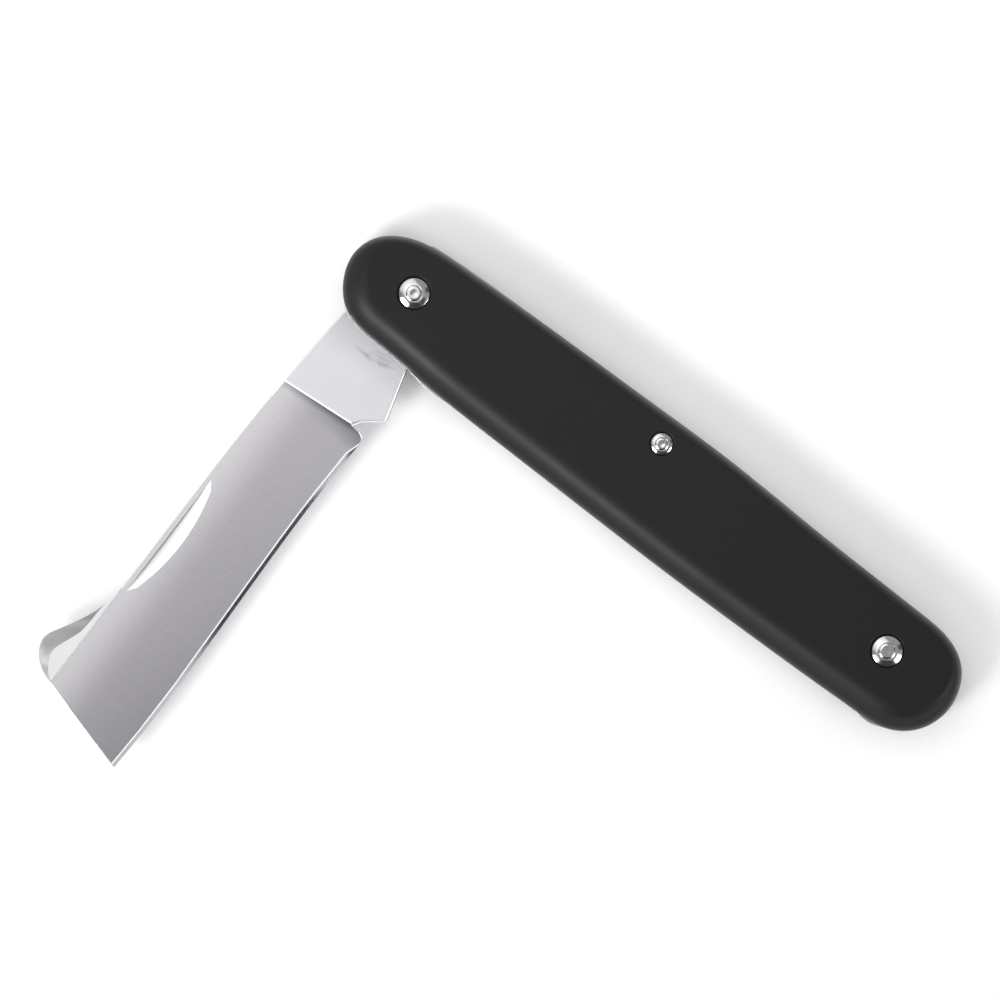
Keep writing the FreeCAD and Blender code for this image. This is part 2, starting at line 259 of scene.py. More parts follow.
@dataclass
class Canvas:
    """A material's nodes, while a finish draws its pattern on them."""

    tree: Tree
    place: Socket       # coordinates in metres
    shader: Node

    def add(self, kind: str, inputs: dict[Any, Any] | None = None, **settings: Any) -> Node:
        """Adds a node to the material."""
        return add_node(self.tree, kind, inputs, **settings)

    def link(self, name: str, value: Socket) -> None:
        """Gives a value to one of the shader's inputs."""
        self.tree.links.new(value, self.shader.inputs[name])

    def streaks(self, turn: float, width: float, length: float, detail: float = 3.0) -> Socket:
        """Fine parallel lines of a grinding belt or wheel.

        Args:
            turn: direction of the lines from the X axis, in degrees.
            width: typical width of a line, in millimetres.
            length: typical length of a line, in millimetres.
            detail: how much finer the finest lines are.

        Returns:
            A value from 0 to 1 that changes quickly across the lines.
        """
        turned = self.add("Mapping", {
            "Vector": self.place, "Rotation": (0, 0, math.radians(-turn))}, vector_type="POINT")
        stretched = self.add("Mapping", {
            "Vector": turned.outputs[0],
            "Scale": (1 / (length * MM), 1 / (width * MM), 1 / (width * MM))}, vector_type="POINT")
        return self.add("TexNoise", {
            "Vector": stretched.outputs[0], "Scale": 1.0, "Detail": detail, "Roughness": 0.6}).outputs[0]

    def cloud(self, size: float, detail: float = 2.0) -> Socket:
        """A soft cloudy value from 0 to 1 whose patches are about size millimetres."""
        noise = self.add("TexNoise", {
            "Vector": self.place, "Scale": 1 / (size * MM), "Detail": detail, "Roughness": 0.5})
        return noise.outputs[0]

    def spread(self, value: Socket, low: float, high: float,
               from_low: float = 0.3, from_high: float = 0.7) -> Socket:
        """The value, stretched from one range to another."""
        node = self.add("MapRange", {
            "Value": value, "From Min": from_low, "From Max": from_high, "To Min": low, "To Max": high})
        return node.outputs[0]

    def mix(self, share: Socket, first: Any, second: Any) -> Socket:
        """The first colour where share is 0 and the second where it is 1."""
        node = self.add("Mix", {0: share, 6: first, 7: second}, data_type="RGBA")
        return node.outputs[2]

    def past(self, start: float, end: float, slant: float = 0.0) -> Socket:
        """A value that rises from 0 to 1 along the blade, towards the tip.

        Args:
            start: where it begins to rise, in millimetres from the pivot.
            end: where it reaches 1.
            slant: how much farther from the pivot it begins for each millimetre towards the spine.

        Returns:
            The value.
        """
        pivot = LAYOUT.to_model().to_translation()
        along = self.add("VectorMath", {
            0: self.place, 1: (slant, -1, 0)}, operation="DOT_PRODUCT").outputs["Value"]
        begin = slant * pivot.x
        return self.add("MapRange", {
            "Value": along, "From Min": begin + start * MM, "From Max": begin + end * MM},
            interpolation_type="SMOOTHSTEP").outputs[0]


@dataclass(frozen=True)
class Finish:
    """What a surface is made of and how it was made.

    The sizes are in millimetres. Each kind of finish adds its own pattern in the method pattern.
    """

    name: str
    slot: str
    colour: str
    dark: str
    roughness: float
    metallic: float = 1.0

    @functools.cache
    def material(self) -> Material:
        """The finish as a material, made once."""
        made = bpy.data.materials.new(self.name)
        made.use_nodes = True
        tree = made.node_tree
        tree.nodes.clear()
        place = add_node(tree, "TexCoord").outputs["Object"]
        shader = add_node(tree, "BsdfPrincipled", {
            "Metallic": self.metallic, "Roughness": self.roughness, "Base Color": linear(self.colour)})
        self.pattern(Canvas(tree, place, shader))
        add_node(tree, "OutputMaterial", {"Surface": shader.outputs[0]})
        return made

    def pattern(self, on: Canvas) -> None:
        """Adds the finish's pattern. A kind of finish says which."""
        raise NotImplementedError


@dataclass(frozen=True)
class MouldedNylon(Finish):
    """Black glass-filled nylon from a spark-eroded mould: matt, with a fine even grain."""

    grain: float = 0.22         # the real grain is about half as coarse, too fine to show
    grain_depth: float = 0.012
    specular: float = 0.5

    def pattern(self, on: Canvas) -> None:
        """Grain as bump, with slight clouds in the colour and the gloss."""
        cloud = on.cloud(9.0)
        grain = on.cloud(self.grain, 3.0)
        tone = on.mix(on.spread(cloud, 0, 1), linear(self.colour), linear(self.dark))
        on.link("Base Color", tone)
        gloss = on.spread(cloud, self.roughness - 0.03, self.roughness + 0.04)
        on.link("Roughness", gloss)
        on.shader.inputs["IOR"].default_value = 1.53
        on.shader.inputs["Specular IOR Level"].default_value = self.specular
        bump = on.add("Bump", {"Strength": 0.35, "Distance": self.grain_depth * MM, "Height": grain})
        on.link("Normal", bump.outputs[0])


@dataclass(frozen=True)
class CrossGroundSteel(Finish):
    """Stainless steel ground by a wheel or belt in one direction, which leaves fine parallel lines."""

    turn: float = 0.0           # direction of the lines, degrees from the X axis
    width: float = 0.11
    length: float = 9.0
    depth: float = 0.004
    contrast: float = 0.35
    level: float = 0.5          # tone midway between the lines, from dark to light
    bands: float = 0.2          # share of the broad bands between the fine lines

    def pattern(self, on: Canvas) -> None:
        """Lines in the tone, the gloss and the bump, with broad soft bands between them."""
        lines = on.streaks(self.turn, self.width, self.length)
        bands = on.streaks(self.turn, self.width * 9, self.length * 4, 1.0)
        both = on.add("Mix", {0: self.bands, 2: lines, 3: bands}, data_type="FLOAT").outputs[0]
        half = 0.5 * self.contrast
        share = on.spread(both, self.level - half, self.level + half, 0.34, 0.66)
        share = self.drift(on, share)
        tone = on.mix(share, linear(self.dark), linear(self.colour))
        gloss = on.spread(lines, self.roughness + 0.05, self.roughness - 0.05)
        tone, gloss = self.wear_and_shade(on, tone, gloss)
        on.link("Base Color", tone)
        on.link("Roughness", gloss)
        bump = on.add("Bump", {"Strength": 0.5, "Distance": self.depth * MM, "Height": lines})
        on.link("Normal", bump.outputs[0])

    def drift(self, on: Canvas, share: Socket) -> Socket:
        """A slow change of tone over the whole surface. Plain ground steel has none."""
        return share

    def wear_and_shade(self, on: Canvas, tone: Socket, gloss: Socket) -> tuple[Socket, Socket]:
        """A change of tone and roughness in one place. Plain ground steel has none."""
        return tone, gloss


@dataclass(frozen=True)
class WheelGroundBlade(CrossGroundSteel):
    """A blade's ground face, with a painted sheen along the spine and painted shade at the tip's edge side
    and along the plunge.
    """

    spine_x: float = -47.5      # model millimetres: the spine, and then the edge
    edge_x: float = -34.0
    plunge_y: float = -19.3
    tip_y: float = -74.6
    painted_spine_sheen: float = 0.62    # painted sheen: how much lighter along the spine,
    sheen_from: float = -40.9    # from here
    sheen_to: float = -48.1      # to here
    painted_tip_shade: float = 0.4       # and painted shade: how much darker at the tip's edge side
    # colour of the painted shade along the plunge
    darker_tone: str = "#4c4c51"
    shade_bands: tuple[Quad, ...] = ((19.35, 20.25, 0.083, 0.75),    # bands of painted shade: start, end, slant, darkness
        (18.9, 21.9, -0.12, 0.5), )

    def drift(self, on: Canvas, share: Socket) -> Socket:
        """Painted sheen lighter towards the spine, painted shade darker towards the tip's edge side."""
        axes = on.add("SeparateXYZ", {0: on.place})
        spine_sheen_share = on.add("MapRange", {
            "Value": axes.outputs["X"], "From Min": self.sheen_from * MM, "From Max": self.sheen_to * MM,
            "To Min": 0.0, "To Max": self.painted_spine_sheen}, interpolation_type="SMOOTHSTEP").outputs[0]
        near_edge = on.spread(axes.outputs["X"], 0, 1, self.spine_x * MM, self.edge_x * MM)
        tip_shade_share = on.spread(axes.outputs["Y"], 0, self.painted_tip_shade, self.plunge_y * MM, self.tip_y * MM)
        fall = on.add("Math", {0: near_edge, 1: tip_shade_share}, operation="MULTIPLY").outputs[0]
        sheen_less_shade = on.add("Math", {0: spine_sheen_share, 1: fall}, operation="SUBTRACT").outputs[0]
        return on.add("Math", {0: share, 1: sheen_less_shade}, operation="ADD").outputs[0]

    def wear_and_shade(self, on: Canvas, tone: Socket, gloss: Socket) -> tuple[Socket, Socket]:
        """Painted shade in bands along the plunge, where its wall shades the ground face, strongest at the
        edge side.
        """
        across = on.add("SeparateXYZ", {0: on.place}).outputs["X"]
        for start, end, slant, darkness in self.shade_bands:
            clear = on.past(start, end, slant)
            band_shade = on.spread(across, 0.3 * darkness, darkness, self.spine_x * MM, self.edge_x * MM)
            left = on.add("Math", {0: 1.0, 1: clear}, operation="SUBTRACT").outputs[0]
            share = on.add("Math", {0: left, 1: band_shade}, operation="MULTIPLY").outputs[0]
            tone = on.mix(share, tone, linear(self.darker_tone))
        return tone, gloss


@dataclass(frozen=True)
class HonedEdge(CrossGroundSteel):
    """A sharpened edge, glossy by the heel and duller and paler towards the tip."""

    dull_from: float = 50.0
    dull_to: float = 62.0
    pale: str = "#b9b9bd"
    dull: float = 0.5

    def wear_and_shade(self, on: Canvas, tone: Socket, gloss: Socket) -> tuple[Socket, Socket]:
        """Paler and rougher towards the tip."""
        share = on.past(self.dull_from, self.dull_to)
        rough = on.add("Mix", {0: share, 2: gloss, 3: self.dull}, data_type="FLOAT")
        return on.mix(share, tone, linear(self.pale)), rough.outputs[0]


@dataclass(frozen=True)
class HandGroundLifter(CrossGroundSteel):
    """A bark lifter's bevel, duller where it leaves the blade's spine."""

    dull_from: float = 60.5
    dull_to: float = 66.5
    darker_tone: str = "#8f8d90"

    def wear_and_shade(self, on: Canvas, tone: Socket, gloss: Socket) -> tuple[Socket, Socket]:
        """Duller at the start."""
        share = on.past(self.dull_from, self.dull_to)
        return on.mix(share, linear(self.darker_tone), tone), gloss


@dataclass(frozen=True)
class RubbedSatinSteel(Finish):
    """Satin steel sheet, with faint arcs where it has turned against its neighbours."""

    rub_radius: float = 9.9         # middle of the band of arcs, and half its width
    rub_band: float = 0.9
    rub_pitch: float = 0.16
    rubbed: str = "#87888d"
    scratch: float = 10.66          # radius of the one deeper scratch, by the tang's kick
    scratch_width: float = 0.11
    rub_from: float = -2.8          # the arcs fade out this far from the pivot towards the spine,
    rub_to: float = 4.6             # and this far towards the edge
    near_handle_tone: str = "#cdcdcf"         # darker by the handle
    near_handle_from: float = 6.5
    near_handle_to: float = 14.0

    def pattern(self, on: Canvas) -> None:
        """Soft clouds, a fine tooth, and arcs round the pivot near one radius."""
        pivot = LAYOUT.to_model().to_translation()
        centred = on.add("Mapping", {
            "Vector": on.place, "Location": (-pivot.x, -pivot.y, 0), "Scale": (1, 1, 0)})
        radius = on.add("VectorMath", {0: centred.outputs[0]}, operation="LENGTH")
        wobble = on.add("Math", {0: on.cloud(3.0), 1: 0.5 * MM, 2: radius.outputs["Value"]},
            operation="MULTIPLY_ADD").outputs[0]
        across = on.add("Math", {0: wobble, 1: 1 / (self.rub_pitch * MM)}, operation="MULTIPLY")
        arcs = on.add("TexNoise", {
            "W": across.outputs[0], "Scale": 1.0, "Detail": 1.0}, noise_dimensions="1D").outputs[0]
        arcs = on.spread(arcs, 0, 0.7, 0.5, 0.6)
        band = on.add("Math", {
            0: radius.outputs["Value"], 1: self.rub_radius * MM, 2: self.rub_band * MM},
            operation="COMPARE").outputs[0]
        patchy = on.spread(on.cloud(1.8), 0, 1, 0.42, 0.6)
        marks = on.add("Math", {0: arcs, 1: band}, operation="MULTIPLY").outputs[0]
        marks = on.add("Math", {0: marks, 1: patchy}, operation="MULTIPLY").outputs[0]
        across = on.add("SeparateXYZ", {0: on.place}).outputs["X"]
        line = on.add("Math", {0: wobble, 1: self.scratch * MM, 2: self.scratch_width / 2 * MM},
            operation="COMPARE").outputs[0]
        broken = on.spread(on.cloud(1.1), 0.2, 0.85, 0.4, 0.6)
        line = on.add("Math", {0: line, 1: broken}, operation="MULTIPLY").outputs[0]
        marks = on.add("Math", {0: marks, 1: line}, operation="MAXIMUM").outputs[0]
        for end, fade in ((self.rub_from, 2.6), (self.rub_to, -2.0)):
            inner = on.spread(across, 0, 1, pivot.x + end * MM, pivot.x + (end + fade) * MM)
            marks = on.add("Math", {0: marks, 1: inner}, operation="MULTIPLY").outputs[0]
        cloud = on.spread(on.cloud(4.0), 0, 0.35)
        tone = on.mix(cloud, linear(self.colour), linear(self.dark))
        away_from_handle = on.past(self.near_handle_from, self.near_handle_to)
        tone = on.mix(away_from_handle, linear(self.near_handle_tone), tone)
        tone = on.mix(marks, tone, linear(self.rubbed))
        on.link("Base Color", tone)
        tooth = on.cloud(0.12, 2.0)
        gloss = on.spread(tooth, self.roughness - 0.04, self.roughness + 0.04)
        on.link("Roughness", gloss)
        bump = on.add("Bump", {"Strength": 0.3, "Distance": 0.003 * MM, "Height": tooth})
        on.link("Normal", bump.outputs[0])


@dataclass(frozen=True)
class TurnedSteel(Finish):
    """Polished steel turned or spun on its own axis, with faint rings round it."""

    ring: float = 0.09
    depth: float = 0.002

    def pattern(self, on: Canvas) -> None:
        """Rings by the distance from the piece's own axis, which its attribute carries."""
        own = on.add("Attribute", attribute_name="turning").outputs["Vector"]
        flat = on.add("VectorMath", {0: own, 1: (1, 1, 0)}, operation="MULTIPLY")
        radius = on.add("VectorMath", {0: flat.outputs[0]}, operation="LENGTH")
        across = on.add("Math", {0: radius.outputs["Value"], 1: 1 / self.ring}, operation="MULTIPLY")
        rings = on.add("TexNoise", {
            "W": across.outputs[0], "Scale": 1.0, "Detail": 2.0}, noise_dimensions="1D").outputs[0]
        smear = on.cloud(0.5, 3.0)
        share = on.add("Mix", {0: 0.45, 2: rings, 3: smear}, data_type="FLOAT").outputs[0]
        tone = on.mix(on.spread(share, 0, 1), linear(self.dark), linear(self.colour))
        on.link("Base Color", tone)
        gloss = on.spread(share, self.roughness + 0.04, self.roughness - 0.03)
        on.link("Roughness", gloss)
        bump = on.add("Bump", {"Strength": 0.5, "Distance": self.depth * MM, "Height": share})
        on.link("Normal", bump.outputs[0])


@dataclass(frozen=True)
class Laminate(Finish):
    """A white laminate table top with a barely seen mottle."""

    def pattern(self, on: Canvas) -> None:
        """A faint mottle in the tone."""
        share = on.spread(on.cloud(30.0), 0, 1)
        on.link("Base Color", on.mix(share, linear(self.colour), linear(self.dark)))


# Glass-filled nylon: nearly black, and so matt that light makes only a broad grey sheen on it.
NYLON = MouldedNylon("moulded_black_nylon", "scale_nylon", "#19191b", "#151516", 0.38, 0.0, specular=0.2)
# Blanked and tumbled steel sheet: a soft grey shine, with lines from the shearing of its edge.
LINER_SHEET = CrossGroundSteel("tumbled_steel_sheet", "liner_steel", "#d2d2d4", "#a9a9ac", 0.3,
                               turn=90, width=0.1, length=1.2)
# Hardened spring steel, ground along its back after assembly: fine bright lines along it.
SPRING = CrossGroundSteel("ground_spring_steel", "spring_steel", "#c9c9cc", "#96969a", 0.3,
                          turn=0, width=0.09, length=5.0)
# The blade's unground face: a pale satin, rubbed in arcs where it turns between the liners.
SATIN = RubbedSatinSteel("satin_blade_steel", "blade_steel", "#eaeaee", "#dedee2", 0.33)
# The blade's ground faces: grey, with fine lines from the wheel right across the blade, a painted sheen
# along the spine, and painted shade at the tip's edge side and along the plunge.
GROUND = WheelGroundBlade("cross_ground_blade_steel", "blade_steel", "#ebe8ec", "#a8a6ac", 0.34,
                          turn=4.7, width=0.06, length=14.0, depth=0.0015, contrast=0.25, level=0.4,
                          bands=0.12)
# The honed edge: narrow, smoother and darker, with hardly any lines left; its dark colour is a painted dark
# reflection.
HONED = HonedEdge("honed_edge_steel", "blade_steel", "#8e8e92", "#626267", 0.14,
                   turn=0, width=0.06, length=0.6, depth=0.002)
# The bark lifter's bevel: ground by hand, so its lines are short and uneven, and brighter at its end.
LIFTER = HandGroundLifter("ground_lifter_steel", "blade_steel", "#cccaca", "#9f9c9f", 0.34,
                          turn=20, width=0.12, length=2.0)
# The flat beside that bevel: left as the sheet was, and the palest part of the blade.
FLAT = CrossGroundSteel("pale_flat_steel", "blade_steel", "#fbf9fb", "#f0eef0", 0.36,
                        turn=90, width=0.1, length=2.0, depth=0.001)
# The steep sides of the nick and of the plunge, which the wheels' flanks left dull; their dark colour is
# painted shade.
FLANK = CrossGroundSteel("flank_steel_painted_shade", "blade_steel", "#77777b", "#5d5d61", 0.42,
                         turn=90, width=0.08, length=2.0, depth=0.001)
# The fine wire along the honed edge, which the stone has rubbed bright.
WIRE = CrossGroundSteel("bright_wire_steel", "blade_steel", "#f4f4f6", "#dcdcdf", 0.3,
                        turn=90, width=0.06, length=0.6, depth=0.001)
# The nail nick: cut by a small wheel, and coloured pure white as a painted highlight.
NICK = CrossGroundSteel("nick_steel_painted_highlight", "blade_steel", "#ffffff", "#f4f4f5", 0.5,
                        turn=90, width=0.08, length=6.0, depth=0.001)
# The blade's narrow sides, ground along their length.
NARROW = CrossGroundSteel("ground_spine_steel", "blade_steel", "#d9d9dc", "#b0b0b4", 0.25,
                          turn=90, width=0.1, length=3.0, depth=0.002)
# Rivets and washers: polished like chrome, but the rings of the spinning tool still show.
POLISHED = TurnedSteel("polished_rivet_steel", "rivet_steel", "#f1f1f2", "#c4c4c7", 0.1)
# The table under the knife.
TABLE = Laminate("white_laminate", "stage", "#fbfbfb", "#f6f6f7", 0.6, 0.0)

BLADE_FINISHES = {
    Zone.TANG: SATIN, Zone.GROUND: GROUND, Zone.HONED: HONED, Zone.LIFTER: LIFTER,
    Zone.NICK: NICK, Zone.SPINE: NARROW, Zone.PLUNGE: WIRE, Zone.FLANK: FLANK, Zone.FLAT: FLAT,
    Zone.WIRE: WIRE,
}


# Mesh helpers


def level_edges(bm: Mesh, z: float) -> list[Edge]:
    """The edges that lie at height z."""
    return [e for e in bm.edges if all(abs(v.co.z - z) < SAME for v in e.verts)]


def turn_profile(bm: Mesh, profile: Iterable[Point], centre: Vector) -> None:
    """Spins a profile of radii and heights into a ring round an upright axis.

    Args:
        bm: the mesh that the ring is added to.
        profile: points as radius and height.
        centre: a point of the axis.
    """
    verts = [bm.verts.new((centre.x + radius, centre.y, height)) for radius, height in profile]
    edges = [bm.edges.new(pair) for pair in zip(verts, verts[1:])]
    bmesh.ops.spin(bm, geom=verts + edges, cent=centre, axis=(0, 0, 1), angle=math.tau,
                   steps=ROUND_STEPS, use_merge=True)


def round_edges(bm: Mesh, edges: Sequence[Edge], width: float, steps: int,
                material: int = -1) -> list[Vert]:
    """Rounds some edges, each of its two faces drawn back by the same width.

    Args:
        bm: the mesh.
        edges: the edges.
        width: how far the faces are drawn back.
        steps: faces across the rounding.
        material: number of the rounding's material, -1 for its neighbours'.

    Returns:
        The rounding's points.
    """
    return bmesh.ops.bevel(bm, geom=list(edges), offset=width, offset_type="OFFSET", segments=steps,
                           profile=0.5, affect="EDGES", material=material, clamp_overlap=False)["verts"]


def upright(points: Iterable[Point], height: float) -> Mesh:
    """Draws an outline up from height 0 into a block."""
    bm = bmesh.new()
    face = bm.faces.new([bm.verts.new((x, y, 0)) for x, y in points])
    grown = bmesh.ops.extrude_face_region(bm, geom=[face])["geom"]
    lifted = [g for g in grown if isinstance(g, Vert)]
    bmesh.ops.translate(bm, verts=lifted, vec=(0, 0, height))
    return bm


def open_levels(bm: Mesh) -> None:
    """Takes away a block's top and bottom, its two largest faces."""
    largest = sorted(bm.faces, key=lambda f: f.calc_area())[-2:]
    bmesh.ops.delete(bm, geom=largest, context="FACES_ONLY")


def turn_over(bm: Mesh, height: float) -> None:
    """Turns a mesh over to the other side, so that height 0 comes to the height given."""
    bmesh.ops.scale(bm, verts=bm.verts[:], vec=(1, 1, -1))
    bmesh.ops.translate(bm, verts=bm.verts[:], vec=(0, 0, height))
    bmesh.ops.recalc_face_normals(bm, faces=bm.faces[:])


def fill_level(bm: Mesh, z: float) -> None:
    """Fills the open level at height z inside its outer edge and round its holes."""
    open_edges = [e for e in level_edges(bm, z) if len(e.link_faces) < 2]
    bmesh.ops.triangle_fill(bm, use_beauty=True, use_dissolve=False, edges=open_edges, normal=(0, 0, 1))


def close_up(bm: Mesh) -> None:
    """Merges doubled points and turns every face outwards."""
    bmesh.ops.remove_doubles(bm, verts=bm.verts[:], dist=1e-4)
    bmesh.ops.recalc_face_normals(bm, faces=bm.faces[:])


def cad_copy(node: str) -> Mesh:
    """A copy of a CAD node's mesh, merged, in millimetres from the pivot axis."""
    bm = bmesh.new()
    bm.from_mesh(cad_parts[node].data)
    bmesh.ops.transform(bm, matrix=LAYOUT.to_model().inverted(), verts=bm.verts[:])
    bmesh.ops.remove_doubles(bm, verts=bm.verts[:], dist=1e-4)
    bmesh.ops.dissolve_limit(bm, angle_limit=math.radians(0.3), use_dissolve_boundaries=False,
                             verts=bm.verts[:], edges=bm.edges[:], delimit=set())
    return bm


def place_piece(bm: Mesh, name: str, node: str, body: str, finishes: Sequence[Finish],
                sharp_angle: float = 50.0) -> Piece:
    """Makes a finished piece of a mesh, in the place of a CAD node.

    Args:
        bm: the mesh, in millimetres from the pivot axis. It is freed.
        name: the piece's name.
        node: the CAD node that it stands for.
        body: the body that it rides on.
        finishes: one finish for each material number of the mesh.
        sharp_angle: edges that turn more than this stay sharp, in degrees.

    Returns:
        The new object.
    """
    bmesh.ops.transform(bm, matrix=LAYOUT.to_model(), verts=bm.verts[:])
    mesh = bpy.data.meshes.new(name)
    marked = [e.index for e in bm.edges if not e.smooth]
    bm.to_mesh(mesh)
    bm.free()
    mesh.shade_smooth()
    mesh.set_sharp_from_angle(angle=math.radians(sharp_angle))
    if marked and "sharp_edge" not in mesh.attributes:
        mesh.attributes.new("sharp_edge", "BOOLEAN", "EDGE")
    for index in marked:
        mesh.attributes["sharp_edge"].data[index].value = True
    piece = bpy.data.objects.new(name, mesh)
    bpy.context.scene.collection.objects.link(piece)
    for finish in finishes:
        mesh.materials.append(finish.material())
    even = piece.modifiers.new("even_shading", "WEIGHTED_NORMAL")
    even.mode = "FACE_AREA"
    even.weight = 100
    even.keep_sharp = True
    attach(piece, body)
    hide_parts(node)
    return piece


# The handle


@dataclass
class Scales:
    """The pair of moulded scales, with a broad rounded shoulder and a seat for each washer."""

    wall: float = 1.1               # upright band beside the liner
    belly_shoulder: float = 4.0     # width of the rounding along the belly
    back_shoulder: float = 1.25     # and along the back, where the middle washer is near
    shoulder_height: float = 2.9
    shoulder_steps: int = 16
    inner_corner: float = 0.12      # rounding along the liner, which shows as a fine seam
    level_margin: float = 0.06
    seat_depth: float = 0.8
    seat_gap: float = 0.2
    seat_shift: Point = (-0.085, 0.012)     # the washers don't sit quite in the middle of their seats
    lip: float = 0.12
    pin_gap: float = 0.16

    def moulding(self, side: Side) -> Mesh:
        """Builds one scale.

        Args:
            side: the side of the knife that it is on.

        Returns:
            The closed mesh in its place.
        """
        full = self.wall + self.belly_shoulder
        bm = upright(LAYOUT.outline(), full)
        round_edges(bm, level_edges(bm, full), self.belly_shoulder, self.shoulder_steps)
        self.narrow_back(bm)
        round_edges(bm, level_edges(bm, 0), self.inner_corner, 2)
        top = self.wall + self.shoulder_height
        open_levels(bm)
        for pin in LAYOUT.pins:
            turn_profile(bm, self.seat_profile(pin, top), pin.at() + Vector((*self.seat_shift, 0)))
        fill_level(bm, top)
        fill_level(bm, 0.0)
        close_up(bm)
        if side is Side.FRONT:
            bmesh.ops.translate(bm, verts=bm.verts[:], vec=(0, 0, LAYOUT.total - LAYOUT.scale))
        else:
            turn_over(bm, LAYOUT.scale)
        return bm

    def narrow_back(self, bm: Mesh) -> None:
        """Draws the round shoulder in to its height, and outwards where it is nearer the back."""
        rim = [Vector(point) for point in LAYOUT.outline()]
        squash = self.shoulder_height / self.belly_shoulder
        for vert in bm.verts:
            rise = vert.co.z - self.wall
            if rise < SAME:
                continue
            foot = min(rim, key=lambda point: (vert.co.xy - point).length_squared)
            inwards = vert.co.xy - foot
            if inwards.length > SAME:
                belly = 0.5 + 0.5 * inwards.normalized().y
                share = belly * belly * (3 - 2 * belly)
                width = self.back_shoulder + (self.belly_shoulder - self.back_shoulder) * share
                vert.co.xy = foot + inwards * width / self.belly_shoulder
            vert.co.z = self.wall + rise * squash

    def seat_profile(self, pin: PinPlace, top: float) -> list[Point]:
        """The section of a washer's seat and of the pin's hole under it.

        Args:
            pin: the pin that goes through it.
            top: height of the scale's face.

        Returns:
            Points as radius and height, from the level face down to the scale's inner side.
        """
        wall = pin.washer + self.seat_gap
        outer = wall + self.lip
        floor = top - self.seat_depth
        hole = pin.shank + self.pin_gap
        points = [(outer + self.level_margin, top), (outer, top)]
        points += arc_points((outer, top), (wall, top - self.lip), 0.29 * self.lip, 4)
        points += [(wall, floor), (hole, floor), (hole, 0.0), (hole + self.level_margin, 0.0)]
        return points

    def build(self) -> list[Piece]:
        """Places both scales."""
        return [place_piece(self.moulding(side), f"scale_{side.name.lower()}", f"{side.name.lower()}_scale",
                            "handle", [NYLON]) for side in Side]


@dataclass
class Liners:
    """The pair of steel liners, with their corners just broken.

    Each place where they stand proud of the scales has a start, an end and a height.
    """

    corner: float = 0.09
    hole_gap: float = 0.02
    proud: tuple[tuple[float, float, float], ...] = ((4.4, 14.4, 0.33), (79.5, 85.5, 0.3))

    def outline(self) -> list[Point]:
        """The handle's outline, eased outwards where the liners show along the belly."""
        eased = []
        for x, y in LAYOUT.outline():
            for start, end, height in self.proud:
                share = (x - start) / (end - start)
                if y < 0 and 0 < share < 1:
                    y -= height * math.sin(math.pi * share) ** 2
            eased.append((x, y))
        return eased

    def plate(self, bottom: float) -> Mesh:
        """One liner whose lower face is at the height bottom."""
        bm = upright(self.outline(), LAYOUT.liner)
        round_edges(bm, level_edges(bm, 0) + level_edges(bm, LAYOUT.liner), self.corner, 2)
        open_levels(bm)
        for pin in LAYOUT.pins:
            hole = pin.shank + self.hole_gap
            turn_profile(bm, [(hole, 0.0), (hole, LAYOUT.liner)], pin.at())
        fill_level(bm, 0)
        fill_level(bm, LAYOUT.liner)
        close_up(bm)
        bmesh.ops.translate(bm, verts=bm.verts[:], vec=(0, 0, bottom))
        return bm

    def build(self) -> list[Piece]:
        """Places both liners."""
        bottoms = {"front": LAYOUT.total - LAYOUT.scale - LAYOUT.liner, "back": LAYOUT.scale}
        return [place_piece(self.plate(bottom), f"liner_{side}", f"{side}_liner", "handle", [LINER_SHEET])
                for side, bottom in bottoms.items()]


@dataclass
class Backspring:
    """The spring strip between the liners, with its edges softly rounded."""

    corner: float = 0.12
    steps: int = 2

    def strip(self) -> Mesh:
        """The spring as the CAD has it, with broken edges."""
        bm = cad_copy("backspring")
        low, high = LAYOUT.scale + LAYOUT.liner, LAYOUT.total - LAYOUT.scale - LAYOUT.liner
        edges = []
        for edge in level_edges(bm, low) + level_edges(bm, high):
            near = [min((v.co.xy - pin.at().xy).length for pin in LAYOUT.pins) for v in edge.verts]
            if edge.calc_face_angle(0) > math.radians(60) and min(near) > 1.2:
                edges.append(edge)
        round_edges(bm, edges, self.corner, self.steps)
        return bm

    def build(self) -> list[Piece]:
        """Places the spring."""
        return [place_piece(self.strip(), "spring_strip", "backspring", "handle", [SPRING])]


